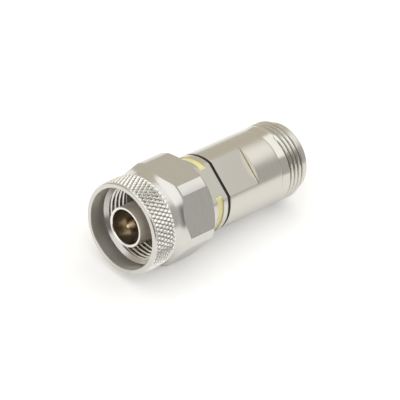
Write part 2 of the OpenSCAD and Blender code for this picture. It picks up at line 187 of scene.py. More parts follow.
class AdapterBodySizes(bpy.types.PropertyGroup):
    """Plug body and jack body; their ends come from the frame"""
    body_radius: size("Body radius", "Radius of the flange and the jack body", 7.9)
    flat_distance: size("Wrench flat", "Distance from the axis to each wrench flat", 6.9)
    flat_turn: angle("Wrench flat turn", "Turn of the wrench flats about the axis, from straight up", 33)
    flat_length: size("Flat length", "Length of the wrench flats on the jack body", 8.1)
    corner_cut: size("Corner cut", "Width of the fine cut at the foot of a wrench flat's step", 0.15)
    edge: size("Edge", "Width of the broken edges", 0.1)
    fine_edge: size("Fine edge", "Radius of the fine edges", 0.03)
    end_edge: size("End edge", "Radius of the edges at the plain end", 0.05)
    end_round: size("Body end", "Radius of the round edge at the end of the jack body", 0.3)
    hub_radius: size("Hub radius", "Radius of the hub that carries the nut", 6.8)
    ring_floor: size("Ring floor", "Radius of the hub under the retaining ring", 6.22)
    flange_width: size("Flange width", "Width of the flange behind the nut", 4.9)
    marker_floor: size("Marker floor", "Radius of the groove under the marker band", 7.5)
    seat_radius: size("Contact seat", "Radius of the bore that holds the outer contact", 4.62)
    line_radius: size("Line radius", "Radius of the bore of the coaxial line", 3.5)
    spigot_radius: size("Spigot radius", "Radius of the jack's spigot inside the flange", 5.5)
    spigot_gap: size("Spigot gap", "Space round the jack's spigot", 0.02)
    neck_start: size("Neck start", "Length of the jack body up to its neck", 14.9)
    neck_width: size("Neck width", "Width of the neck, which slopes up to the thread", 2.3)
    neck_foot: size("Neck foot", "Radius of the fine corner at the foot of the neck", 7.54)
    neck_radius: size("Neck radius", "Radius of the neck just behind that corner", 7.72)
    thread_radius: size("Thread radius", "Radius over the jack's thread", 7.94)
    thread_width: size("Thread width", "Width of the jack's thread with its sloping end", 4.3)
    thread_start: angle("Thread start", "Turn about the axis at which the thread runs in, from level", 98)
    end_radius: size("End radius", "Radius of the plain end", 7.2)
    end_chamfer: size("End chamfer", "Slope round the plain end", 0.45)
    mouth_radius: size("Mouth radius", "Radius of the jack's mouth", 4.05)
    mouth_chamfer: size("Mouth chamfer", "Slope round the jack's mouth", 0.5)
    mouth_depth: size("Mouth depth", "Depth of the jack's mouth", 9.1)


class AdapterContactSizes(bpy.types.PropertyGroup):
    """Contacts, beads and rings; their ends and outer radii come from the frame"""
    contact_radius: size("Contact radius", "Outer radius of the contact tube", 4.0)
    contact_bore: size("Contact bore", "Inner radius of the contact tube", 3.5)
    contact_chamfer: size("Contact chamfer", "Slope inside the mouth of the contact tube", 0.12)
    contact_edge: size("Contact edge", "Radius of the contact tube's edges", 0.04)
    pin_radius: size("Pin radius", "Radius of the centre pin", 0.825)
    pin_length: size("Pin length", "Length of the pin, from its tip to its shoulder", 4.8)
    pin_edge: size("Pin edge", "Radius of the pin's edges", 0.08)
    nose_length: size("Nose length", "Length of the pin's tapered nose", 1.3)
    tip_radius: size("Tip radius", "Radius of the nose's round tip", 0.4)
    rod_radius: size("Rod radius", "Radius of the inner conductor behind the pin", 1.52)
    spigot_radius: size("Spigot radius", "Radius of the conductor where it passes a bead", 1.0)
    gasket_bore: size("Gasket bore", "Inner radius of the face gasket", 4.62)
    gasket_edge: size("Gasket edge", "Radius of the face gasket's edges", 0.25)
    seam_bore: size("Seam bore", "Inner radius of the seam ring", 5.52)
    seam_radius: size("Seam radius", "Outer radius of the seam ring", 7.75)
    seam_flat: size("Seam flat", "Distance from the axis to the seam ring's flats", 6.75)
    seam_edge: size("Seam edge", "Radius of the seam ring's edges", 0.08)
    marker_inner: size("Marker inner radius", "Inner radius of the marker band", 7.52)
    marker_outer: size("Marker outer radius", "Outer radius of the marker band", 7.65)
    marker_edge: size("Marker edge", "Radius of the marker band's edges", 0.03)


class AdapterColours(bpy.types.PropertyGroup):
    """Colours of the finishes"""
    nut_steel: colour("Nut steel", "Stainless steel of the coupling nut", "#D8D6D0")
    body_steel: colour("Body steel", "Stainless steel of the two bodies", "#D7D4CB")
    flat_steel: colour("Flat steel", "Stainless steel of the wrench flats", "#C4C1B8")
    # Painted light: the steps' steel is painted lighter than the body's, for the bright reflection on them
    step_painted_light: colour("Step steel", "Fresh-cut steel of the steps behind the wrench flats", "#FFFAEC")
    # Painted shade: dark steel in the fine cuts at the feet of the steps, for the shade in that corner
    cut_painted_shade: colour("Cut steel", "Stained steel in the fine cuts at the feet of those steps", "#918D7C")
    hexagon_steel: colour("Hexagon steel", "Stainless steel of the nut's flats", "#D5D3CD")
    # Painted light: the bore's steel is painted lighter than the nut's, lifting the dark inside of the bore
    bore_painted_light: colour("Bore steel", "Stainless steel of the nut's bore", "#F6F4EE")
    # Painted shade: the slope into the thread is painted darker than the bore's steel
    chamfer_painted_shade: colour("Chamfer steel", "Stainless steel of the slope into the nut's thread", "#C6C4BE")
    contact_steel: colour("Contact steel", "Steel of the contact tube's outer wall", "#EDE3D8")
    line_steel: colour("Line steel", "Steel of the contact tube's inner wall", "#E2DAD0")
    contact_rim: colour("Contact rim", "Polished front of the contact tube", "#F0EEEA")
    spring_steel: colour("Spring steel", "Spring steel of the retaining ring", "#B4B1AC")
    gold_plate: colour("Gold plate", "Gold plating of the inner conductor", "#EEE2C8")
    bead_plastic: colour("Bead plastic", "White plastic of the beads", "#EFEDE6")
    gasket_rubber: colour("Gasket rubber", "Grey rubber of the face gasket", "#5A5855")
    seam_rubber: colour("Seam rubber", "Black rubber of the seam ring", "#1E1B16")
    yellow_enamel: colour("Yellow enamel", "Enamel of the marker band", "#FAEFAC")
    floor_paper: colour("Floor paper", "White paper that the adapter lies on", "#F6F6F5")


class AdapterView(bpy.types.PropertyGroup):
    """Camera and light"""
    azimuth: angle("Azimuth", "Turn of the camera about the upright", -53.1667)
    elevation: angle("Elevation", "Height of the camera above the horizon", 35.6446)
    roll: angle("Roll", "Tilt of the camera about its own line of sight", 13.1529)
    distance: size("Distance", "Distance from the camera to its target", 541.83)
    target: FloatVectorProperty(name="Target", description="Point in the middle of the picture",
                                default=(20.4618 * MM, -0.3788 * MM, -1.4336 * MM),
                                unit="LENGTH", subtype="XYZ")
    field: angle("Field of view", "Angle across the picture", 8.1714)
    sky: FloatProperty(name="Overhead light", description="Strength of the soft light overhead",
                       default=1.28, min=0)
    lamp: FloatVectorProperty(name="Lamp", description="Direction of the middle of the soft light",
                              default=(-0.3, -0.06, 0.95), subtype="XYZ")
    horizon_front: colour("Front wall", "Colour of the room in front of the adapter", "#C0BEBC")
    horizon_back: colour("Back wall", "Colour of the room behind the adapter", "#D3CDC0")


# Shapes

def wave(phase):
    """Triangle wave: 1 at each whole number, 0 half way between two."""
    return np.abs(2 * (phase % 1) - 1)


def ends(node):
    """Places along the axis where a node of the frame starts and ends."""
    low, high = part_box(node)
    return low.x, high.x


def soften(profile, radius):
    """Profile with each inner corner rounded: it leaves the corner by one radius, or by 0.4 of the side where
    that is less, on both sides, and passes half way between the corner and the middle of those points."""
    profile = np.asarray(profile, float)
    corner = profile[1:-1]
    sides = np.stack([profile[:-2] - corner, profile[2:] - corner])
    lengths = np.linalg.norm(sides, axis=2, keepdims=True)
    before, after = corner + sides * np.minimum(0.4, radius / np.maximum(lengths, TOUCHING))
    middle = (before + 2 * corner + after) / 4
    rounded = np.stack([before, middle, after], 1).reshape(-1, 2)
    return np.concatenate([profile[:1], rounded, profile[-1:]])


def arc(centre, radius, start, end, count):
    """Profile points on a circle, at even angles from start to end, measured from the axis direction."""
    turn = np.linspace(start, end, count)
    return np.stack([centre[0] + radius * np.cos(turn), centre[1] + radius * np.sin(turn)], 1)


def round_angles(count, edges=()):
    """Angles round the axis: evenly spaced, then slid so that one of them falls on each edge."""
    even = np.arange(count) * TURN / count
    edges = np.sort(np.asarray(edges, float) % TURN)
    if not len(edges):
        return even
    nearest = np.round(edges * count / TURN) * TURN / count
    return even + np.interp(even, nearest, edges - nearest, period=TURN)


def flat_reach(angles, distance, normals):
    """Distance from the axis to the nearest flat at each angle: the flat's own distance over the cosine of
    the angle from its normal, and very far where it faces away."""
    facing = np.cos(angles[None, :] - np.asarray(normals)[:, None])
    return (distance / np.maximum(facing, 1e-3)).min(0)


def edge_angles(radius, distance, normals):
    """Angles at which flats cut a cylinder: the arc cosine of distance over radius, both ways from each
    normal."""
    half = np.arccos(distance / radius)
    return np.add.outer(np.asarray(normals), [-half, half]).ravel()


def rings(profile, columns):
    """Profile carried round the axis: its places and radii, each repeated in every column."""
    profile = np.asarray(profile, float)
    return [np.repeat(profile[:, k:k + 1], columns, 1) for k in (0, 1)]


def groove_depth(place, angles, first, depth, thread, start=-np.inf):
    """Depth of a right-handed thread's groove: full on its flat bottom, and then less by the distance from
    the bottom over the tangent of the flank, down to 0. The groove climbs one pitch a turn, passes the first
    place at angle 0, and gets its depth within a thirtieth of a turn after the start, counted in turns."""
    turn = (place - first) / thread.pitch - angles / TURN
    whole = np.round(turn)
    away = thread.pitch * np.abs(turn - whole) - thread.flat / 2
    run_in = np.clip(30 * (whole + angles / TURN - start), 0, 1)
    return run_in * np.clip(depth - away / np.tan(thread.flank), 0, depth)


def knurl_height(row, angles, count):
    """Diamond knurl, 0 where two grooves cross and 1 at the points. Two triangle waves climb the sleeve to
    the left and to the right, and the height is 0.6 of the lower one and 0.4 of their mean, so that the
    grooves rise between their crossings. row counts diamonds along the sleeve, and count those round it."""
    left, right = [wave(angles * count / TURN + way * row) for way in (-1, 1)]
    return 0.6 * np.minimum(left, right) + 0.4 * (left + right) / 2


def merge(points):
    """Points without repeats, the first place of each, and for each old point the place of the new one."""
    cells = np.round(points / TOUCHING)
    _, first, place = np.unique(cells, axis=0, return_index=True, return_inverse=True)
    return points[first], first, place.reshape(-1)


def lathe(place, radius, angles, closed=True):
    """Points and triangles of a turned surface. Point (i, j) lies at place[i, j] along the axis and
    radius[i, j] from it, at angles[j] round it. Rows follow the profile, and the last one joins the first
    where it is closed; columns go round. Points that fall together, such as a row on the axis, become one.
    Each square is folded along its diagonal nearer the axis, which keeps knurl grooves sharp."""
    points = np.stack([place, radius * np.cos(angles), radius * np.sin(angles)], 2).reshape(-1, 3)
    points, first, near = merge(points)
    reach = radius.ravel()[first]
    near = near.reshape(radius.shape)
    far = np.roll(near, -1, 1)
    square = np.stack([near, far, np.roll(far, -1, 0), np.roll(near, -1, 0)], 2)
    square = square[:None if closed else -1].reshape(-1, 4)
    fold = (reach[square[:, [0, 2]]].sum(1) <= reach[square[:, [1, 3]]].sum(1))[:, None]
    triangles = np.concatenate([np.where(fold, square[:, [0, 1, 2]], square[:, [0, 1, 3]]),
                                np.where(fold, square[:, [0, 2, 3]], square[:, [1, 2, 3]])])
    return points, triangles[(triangles != np.roll(triangles, 1, 1)).all(1)]


def on_flats(points, triangles, distance, normals):
    """1 for each triangle whose three corners lie on one flat, else 0."""
    depth = np.outer(points[:, 1], np.cos(normals)) + np.outer(points[:, 2], np.sin(normals))
    lies = np.abs(depth - distance) < CLOSE
    return lies[triangles].all(1).any(1).astype(int)


def corner_places(points, triangles):
    """Place along the axis, and distance from it, of each corner of each triangle."""
    x, y, z = points[triangles].transpose(2, 0, 1)
    return x, np.hypot(y, z)


def wrench_normals(body):
    """Angles round the axis of the two wrench flats' normals."""
    return np.pi / 2 + body.flat_turn + np.array([0, np.pi])


def add_piece(name, points, triangles, node, finishes, choice=None, crisp=CRISP_EDGE):
    """Makes the mesh, with finishes[choice] on each triangle, and lets the piece stand for its node."""
    mesh = bpy.data.meshes.new(name)
    mesh.vertices.add(len(points))
    mesh.vertices.foreach_set("co", points.astype(np.float32).ravel())
    mesh.loops.add(triangles.size)
    mesh.loops.foreach_set("vertex_index", triangles.astype(np.int32).ravel())
    mesh.polygons.add(len(triangles))
    mesh.polygons.foreach_set("loop_start", np.arange(0, triangles.size, 3, dtype=np.int32))
    for finish in finishes:
        mesh.materials.append(finish)
    if choice is not None:
        mesh.polygons.foreach_set("material_index", choice.astype(np.int32))
    mesh.update(calc_edges=True)
    mesh.shade_smooth()
    mesh.set_sharp_from_angle(angle=crisp)
    piece = bpy.data.objects.new(name, mesh)
    bpy.context.scene.collection.objects.link(piece)
    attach(piece, BODIES[node])
    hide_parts(node)


def add_copy(name, node, finish):
    """Makes a piece from a node's own triangles, joined where their corners meet and smooth where round."""
    mesh = frame["nodes"][node].data
    mesh.calc_loop_triangles()
    points = np.empty(3 * len(mesh.vertices), np.float32)
    mesh.vertices.foreach_get("co", points)
    corners = np.empty(3 * len(mesh.loop_triangles), np.int32)
    mesh.loop_triangles.foreach_get("vertices", corners)
    points, _, place = merge(points.reshape(-1, 3).astype(float))
    add_piece(name, points, place[corners].reshape(-1, 3), node, [finish], crisp=COPY_EDGE)


# Finishes

def fill(tree, node, inputs):
    """Fills a node's inputs, each with a value or with a link from a socket."""
    for key, value in inputs.items():
        if isinstance(value, bpy.types.NodeSocket):
            tree.links.new(value, node.inputs[key])
        else:
            node.inputs[key].default_value = value


def add(tree, kind, inputs, output=0, **settings):
    """Adds a node, makes its settings, fills its inputs and gives the socket of one output."""
    node = tree.nodes.new(kind)
    for key, value in settings.items():
        setattr(node, key, value)
    fill(tree, node, inputs)
    return node.outputs[output]


def new_finish(name):
    """Empty material with its tree, its shader and the socket of its Object coordinates."""
    material = bpy.data.materials.new(name)
    material.use_nodes = True
    tree = material.node_tree
    return material, tree, tree.nodes["Principled BSDF"], add(tree, "ShaderNodeTexCoord", {}, "Object")


def shades(tree, factor, base, darkest, lightest):
    """Socket of the base colour times a grey that runs from darkest to lightest with the factor."""
    low, high = [(*(min(part * grey, 1) for part in base), 1) for grey in (darkest, lightest)]
    return add(tree, "ShaderNodeMix", {0: factor, 6: low, 7: high}, 2, data_type="RGBA")


def off_axis(tree, place):
    """Socket of the distance from the adapter's axis."""
    across = add(tree, "ShaderNodeVectorMath", {0: place, 1: (0, 1, 1)}, operation="MULTIPLY")
    return add(tree, "ShaderNodeVectorMath", {0: across}, "Value", operation="LENGTH")


def turned_stainless(name, base, feed, rough):
    """Stainless steel turned on a lathe: rings one feed apart follow the profile and spread highlights."""
    material, tree, shader, place = new_finish(name)
    along = add(tree, "ShaderNodeSeparateXYZ", {"Vector": place}, "X")
    profile = add(tree, "ShaderNodeMath", {0: along, 1: off_axis(tree, place)}, operation="ADD")
    marks = add(tree, "ShaderNodeTexNoise", {"W": profile, "Scale": 1 / feed, "Detail": 3.0,
                                             "Roughness": 0.6}, noise_dimensions="1D")
    # Finger marks and stains a few millimetres wide
    stains = add(tree, "ShaderNodeTexNoise", {"Vector": place, "Scale": 1 / (3 * MM), "Detail": 4.0})
    # The sum of the two lies about 1, and hardly ever further from it than 0.4
    both = add(tree, "ShaderNodeMath", {0: marks, 1: stains}, operation="ADD")
    dull = add(tree, "ShaderNodeMapRange", {"Value": both, "From Min": 0.6, "From Max": 1.4,
                                            "To Min": rough[0], "To Max": rough[1]})
    bump = add(tree, "ShaderNodeBump", {"Strength": 0.12, "Distance": 0.1 * feed, "Height": marks})
    fill(tree, shader, {"Base Color": shades(tree, marks, base, 0.93, 1.05), "Metallic": 1.0,
                        "Roughness": dull, "Normal": bump})
    return material


def milled_stainless(name, base, rough):
    """Stainless steel flats cut by a milling cutter: faint lines across the axis and a duller, even grey."""
    material, tree, shader, place = new_finish(name)
    # Cutter lines 0.1 mm apart and 3 mm long, drawn three times as wide so that they show
    width, length = 0.3 * MM, 3 * MM
    lined = add(tree, "ShaderNodeMapping", {"Vector": place, "Scale": (1 / width, 1 / length, 1 / length)})
    lines = add(tree, "ShaderNodeTexNoise", {"Vector": lined, "Scale": 1.0, "Detail": 3.0})
    dull = add(tree, "ShaderNodeMapRange", {"Value": lines, "From Min": 0.3, "From Max": 0.7,
                                            "To Min": rough[0], "To Max": rough[1]})
    bump = add(tree, "ShaderNodeBump", {"Strength": 0.05, "Distance": 0.1 * width, "Height": lines})
    fill(tree, shader, {"Base Color": shades(tree, lines, base, 0.96, 1.03), "Metallic": 1.0,
                        "Roughness": dull, "Normal": bump})
    return material


def grooved_stainless(name, base, bottom, depth, tone):
    """Stainless steel with a knurl or a thread: burnished crests that are glossier than the dull grooves,
    with painted shade darkening the grooves and a painted highlight lightening the crests.
    The painted tone follows the distance from the axis, from the bottom of the grooves up to a share of their
    depth, which is negative where they are cut outwards."""
    share, darkest, lightest = tone
    material, tree, shader, place = new_finish(name)
    grit = add(tree, "ShaderNodeTexNoise", {"Vector": place, "Scale": 1 / (0.3 * MM), "Detail": 3.0})
    height = add(tree, "ShaderNodeMapRange", {"Value": off_axis(tree, place), "From Min": bottom,
                                              "From Max": bottom + share * depth})
    uneven = add(tree, "ShaderNodeMath", {0: height, 1: grit}, operation="MULTIPLY")
    dull = add(tree, "ShaderNodeMapRange", {"Value": uneven, "From Max": 0.5, "To Min": 0.4, "To Max": 0.16})
    # Painted shade in the grooves and painted highlight on the crests, set by the distance from the axis
    fill(tree, shader, {"Base Color": shades(tree, height, base, darkest, lightest), "Metallic": 1.0,
                        "Roughness": dull})
    return material


def gold_plating(name, base):
    """Gold plated over finely turned brass: a warm mirror with slightly uneven gloss."""
    material, tree, shader, place = new_finish(name)
    stains = add(tree, "ShaderNodeTexNoise", {"Vector": place, "Scale": 1 / (0.6 * MM), "Detail": 3.0})
    dull = add(tree, "ShaderNodeMapRange", {"Value": stains, "To Min": 0.18, "To Max": 0.36})
    fill(tree, shader, {"Base Color": shades(tree, stains, base, 0.9, 1.06), "Metallic": 1.0,
                        "Roughness": dull})
    return material


def white_ptfe(name, base):
    """White PTFE turned to a disc: waxy and milky, with a soft sheen and faint cloudy patches."""
    material, tree, shader, place = new_finish(name)
    clouds = add(tree, "ShaderNodeTexNoise", {"Vector": place, "Scale": 1 / (0.8 * MM), "Detail": 4.0})
    fill(tree, shader, {"Base Color": shades(tree, clouds, base, 0.93, 1.03), "Roughness": 0.45, "IOR": 1.35,
                        "Subsurface Weight": 0.15, "Subsurface Radius": (1 * MM, 0.9 * MM, 0.8 * MM),
                        "Subsurface Scale": 1.0})
    return material


def moulded_rubber(name, base, grain):
    """Rubber moulded against a blasted tool: dull, with a fine grain that hides any highlight."""
    material, tree, shader, place = new_finish(name)
    pits = add(tree, "ShaderNodeTexNoise", {"Vector": place, "Scale": 1 / grain, "Detail": 5.0})
    dull = add(tree, "ShaderNodeMapRange", {"Value": pits, "To Min": 0.55, "To Max": 0.85})
    bump = add(tree, "ShaderNodeBump", {"Strength": 0.4, "Distance": 0.2 * grain, "Height": pits})
    fill(tree, shader, {"Base Color": shades(tree, pits, base, 0.75, 1.2), "Roughness": dull, "IOR": 1.52,
                        "Normal": bump})
    return material


def baked_enamel(name, base):
    """Enamel baked in a groove: even colour under a clear gloss, a little thinner in places."""
    material, tree, shader, place = new_finish(name)
    flow = add(tree, "ShaderNodeTexNoise", {"Vector": place, "Scale": 1 / (1.2 * MM), "Detail": 3.0})
    bump = add(tree, "ShaderNodeBump", {"Strength": 0.1, "Distance": 0.05 * MM, "Height": flow})
    fill(tree, shader, {"Base Color": shades(tree, flow, base, 0.86, 1.08), "Roughness": 0.28, "IOR": 1.5,
                        "Normal": bump, "Coat Weight": 0.4, "Coat Roughness": 0.15})
    return material


def matt_paper(name, base):
    """White paper with a matt coating: no gloss and a barely uneven tone, with a painted pool of light round
    the adapter that fades to grey.
    It is lifted towards white for the camera, less so in reflections, and least where they show the oval of
    paper under the adapter, which is a painted shadow seen in reflections."""
    pool_start, pool_end = 80 * MM, 350 * MM
    oval_length, oval_width = 24 * MM, 10 * MM
    seen_lift, open_lift, painted_shadow_lift = 0.25, 0.2, 0.03
    material, tree, shader, place = new_finish(name)
    fibres = add(tree, "ShaderNodeTexNoise", {"Vector": place, "Scale": 1 / (4 * MM), "Detail": 3.0})
    away = add(tree, "ShaderNodeVectorMath", {0: place}, "Value", operation="LENGTH")
    # Painted pool of light: the paper's colour darkens to grey and its lift towards white fades away from the
    # adapter
    pool = add(tree, "ShaderNodeMapRange", {"Value": away, "From Min": pool_start, "From Max": pool_end,
                                            "To Min": 1.0, "To Max": 0.0}, interpolation_type="SMOOTHSTEP")
    tone = add(tree, "ShaderNodeMath", {0: fibres, 1: 0.02, 2: pool}, operation="MULTIPLY_ADD")
    # Painted shadow in reflections: the oval of paper under the adapter is lifted least for glossy rays
    oval = add(tree, "ShaderNodeVectorMath", {0: place, 1: (1 / oval_length, 1 / oval_width, 0),
                                              2: (-FLOOR_MIDDLE / oval_length, 0, 0)},
               operation="MULTIPLY_ADD")
    aside = add(tree, "ShaderNodeVectorMath", {0: oval}, "Value", operation="LENGTH")
    bare = add(tree, "ShaderNodeMapRange", {"Value": aside, "From Min": 0.3, "From Max": 1.0,
                                            "To Min": painted_shadow_lift, "To Max": open_lift},
               interpolation_type="SMOOTHSTEP")
    path = add(tree, "ShaderNodeLightPath", {}).node.outputs
    mirrored = add(tree, "ShaderNodeMath", {0: path["Is Glossy Ray"], 1: bare}, operation="MULTIPLY")
    seen = add(tree, "ShaderNodeMath", {0: path["Is Camera Ray"], 1: seen_lift, 2: mirrored},
               operation="MULTIPLY_ADD")
    lift = add(tree, "ShaderNodeMath", {0: seen, 1: pool}, operation="MULTIPLY")
    fill(tree, shader, {"Base Color": shades(tree, tone, base, 0.6, 1.0), "Roughness": 0.9,
                        "Specular IOR Level": 0.2, "Emission Color": (1, 1, 1, 1), "Emission Strength": lift})
    return material


# Operators

class AdapterNut(bpy.types.Operator):
    """Makes the coupling nut with its diamond knurl, hexagon and inner thread"""
    bl_idname = "adapter.nut"
    bl_label = "Coupling nut"

    def execute(self, context):
        nut = context.scene.adapter_nut
        thread = context.scene.adapter_thread
        tints = context.scene.adapter_colours
        low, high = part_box("coupling_nut")
        front, back, flat, corner = low.x, high.x, high.z, high.y
        ring_front, ring_back = ends("retaining_ring")
        normals = np.radians(90 + 60 * np.arange(6))
        angles = round_angles(KNURL_STEPS * nut.knurl_count, edge_angles(corner, flat, normals))
        columns = len(angles)
        reach = np.minimum(corner, flat_reach(angles, flat, normals))

        nose = np.concatenate([
            [(front + nut.edge, nut.entry_radius), (front, nut.entry_radius + nut.edge),
             (front, nut.face_radius - nut.edge)],
            arc((front + nut.face_edge, nut.face_radius), nut.face_edge, np.pi, np.pi / 2, FACE_EDGE_POINTS)])

        # The knurl dies away to the smooth surface at both ends, for which it has a few steps more
        sleeve_front = front + nut.face_edge
        sleeve_back = sleeve_front + nut.knurl_width + 2 * nut.knurl_runout
        sleeve = np.linspace(sleeve_front, sleeve_back, KNURL_STEPS * nut.knurl_rows + 5)[1:, None]
        row = (sleeve - sleeve_front - nut.knurl_runout) / nut.knurl_width * nut.knurl_rows
        peaks = nut.knurl_root + nut.knurl_depth * knurl_height(row, angles, nut.knurl_count)
        full = np.minimum(1, np.minimum(sleeve - sleeve_front, sleeve_back - sleeve) / nut.knurl_fade)
        knurl_radius = nut.band_radius + full * (peaks - nut.band_radius)

        # A hollow leads from the band up to the hexagon's corners
        slope = np.arccos(1 - (corner - nut.band_radius) / nut.hollow)
        hollow_start = front + nut.strip_start - nut.hollow * np.sin(slope)
        band = [(hollow_start - nut.edge, nut.band_radius)]

        # In each column the hollow ends, and the rear slope starts, where it meets the flat
        bend = np.arccos(1 - (reach - nut.band_radius) / nut.hollow)
        bend = np.linspace(0, 1, HOLLOW_POINTS)[:, None] * bend
        hollow_place = hollow_start + nut.hollow * np.sin(bend)
        hollow_radius = nut.band_radius + nut.hollow * (1 - np.cos(bend))
        slope_start = back - nut.rear_chamfer + corner - reach
        slope_place = np.linspace(slope_start, back, REAR_SLOPE_POINTS)
        slope_radius = corner - (slope_place - back + nut.rear_chamfer)

        thread_front = front + nut.entry_depth
        thread_back = front + nut.relief_depth
        lip_front = back - nut.lip_width
        groove_front = ring_front - nut.ring_gap
        groove_back = ring_back + nut.ring_gap
        rear = soften([(back, corner - nut.rear_chamfer), (back, nut.lip_radius),
                       (groove_back, nut.lip_radius), (groove_back, nut.groove_radius),
                       (groove_front, nut.groove_radius), (groove_front, nut.lip_radius),
                       (lip_front, nut.lip_radius), (lip_front, nut.relief_radius),
                       (thread_back, nut.relief_radius)], nut.edge)

        # The thread is cut outwards from its crests, between the slope that leads into it and the relief
        crest_front = thread_front + nut.entry_radius - nut.crest_radius
        crest_back = thread_back - nut.relief_radius + nut.crest_radius
        steps = int(NUT_TURN_STEPS * (thread_back - thread_front) / thread.pitch)
        bore = np.linspace(thread_back, thread_front, steps)[1:, None]
        plain = np.interp(bore, [thread_front, crest_front, crest_back, thread_back],
                          [nut.entry_radius, nut.crest_radius, nut.crest_radius, nut.relief_radius])
        first = crest_front + nut.thread_start / TURN * thread.pitch
        cut = groove_depth(bore, angles, first, thread.nut_depth, thread)
        threaded = np.where(bore > crest_front, nut.crest_radius + cut, 0)

        blocks = [rings(nose, columns), (np.repeat(sleeve, columns, 1), knurl_radius), rings(band, columns),
                  (hollow_place, hollow_radius), (slope_place, slope_radius), rings(rear[1:], columns),
                  (np.repeat(bore, columns, 1), np.maximum(plain, threaded))]
        place, radius = [np.concatenate(parts) for parts in zip(*blocks)]
        points, triangles = lathe(place, radius, angles)

        along, away = [part.mean(1) for part in corner_places(points, triangles)]
        knurled = (along > sleeve_front) & (along < sleeve_back) & (away > nut.face_radius)
        inside = (away < nut.entry_radius + CLOSE) & (along > front + nut.edge)
        tapped = inside & (along > crest_front) & (along < crest_back)
        lead_in = inside & (along > thread_front) & (along < crest_front)
        choice = on_flats(points, triangles, flat, normals) + 2 * knurled + 3 * inside + tapped + 2 * lead_in
        base = tints.nut_steel
        root = nut.crest_radius + thread.nut_depth
        finishes = [
            turned_stainless("Stainless steel, turned", base, FEED, SATIN),
            milled_stainless("Stainless steel, milled hexagon", tints.hexagon_steel, FINE_MILLED),
            grooved_stainless("Stainless steel, knurled", base, nut.knurl_root, nut.knurl_depth,
                              KNURLED_PAINTED_SHADING),
            # The bore gets steel painted lighter (painted light), and the slope into the thread steel painted
            # darker (painted shade)
            turned_stainless("Stainless steel, bored", tints.bore_painted_light, COARSE_FEED, BORED),
            grooved_stainless("Stainless steel, tapped", base, root, -thread.nut_depth, TAPPED_PAINTED_SHADING),
            turned_stainless("Stainless steel, chamfered", tints.chamfer_painted_shade, COARSE_FEED, CHAMFERED)]
        add_piece("knurled_nut", points, triangles, "coupling_nut", finishes, choice)
        return {"FINISHED"}


class AdapterPlugBody(bpy.types.Operator):
    """Makes the plug body with its flange, wrench flats and grooves"""
    bl_idname = "adapter.plug_body"
    bl_label = "Plug body"

    def execute(self, context):
        body = context.scene.adapter_body
        nut = context.scene.adapter_nut
        tints = context.scene.adapter_colours
        front, back = ends("plug_body")
        ring_front, ring_back = ends("retaining_ring")
        marker_front, marker_back = ends("marker_band")
        spigot, seat = ends("jack_body")[0], ends("outer_contact")[1]
        flange = back - body.flange_width
        groove_front = ring_front - nut.ring_gap
        groove_back = ring_back + nut.ring_gap
        socket_radius = body.spigot_radius + body.spigot_gap
        normals = wrench_normals(body)
        angles = round_angles(BODY_COLUMNS, np.concatenate([
            edge_angles(radius, body.flat_distance, normals)
            for radius in (body.body_radius, body.marker_floor)]))
        profile = soften([
            (front, body.seat_radius), (front, body.hub_radius), (groove_front, body.hub_radius),
            (groove_front, body.ring_floor), (groove_back, body.ring_floor), (groove_back, body.hub_radius),
            (flange, body.hub_radius), (flange, body.body_radius - 2 * body.edge),
            (flange + 2 * body.edge, body.body_radius), (marker_front, body.body_radius),
            (marker_front, body.marker_floor), (marker_back, body.marker_floor),
            (marker_back, body.body_radius), (back - body.edge, body.body_radius),
            (back, body.body_radius - body.edge), (back, socket_radius), (spigot, socket_radius),
            (spigot, body.line_radius), (seat, body.line_radius), (seat, body.seat_radius)], body.fine_edge)
        place, radius = rings(profile, len(angles))
        radius = np.minimum(radius, flat_reach(angles, body.flat_distance, normals))
        points, triangles = lathe(place, radius, angles)
        finishes = [turned_stainless("Stainless steel, turned flange", tints.body_steel, FEED, SATIN),
                    milled_stainless("Stainless steel, milled flange flat", tints.flat_steel, MILLED)]
        add_piece("plug_flange", points, triangles, "plug_body", finishes,
                  on_flats(points, triangles, body.flat_distance, normals))
        return {"FINISHED"}


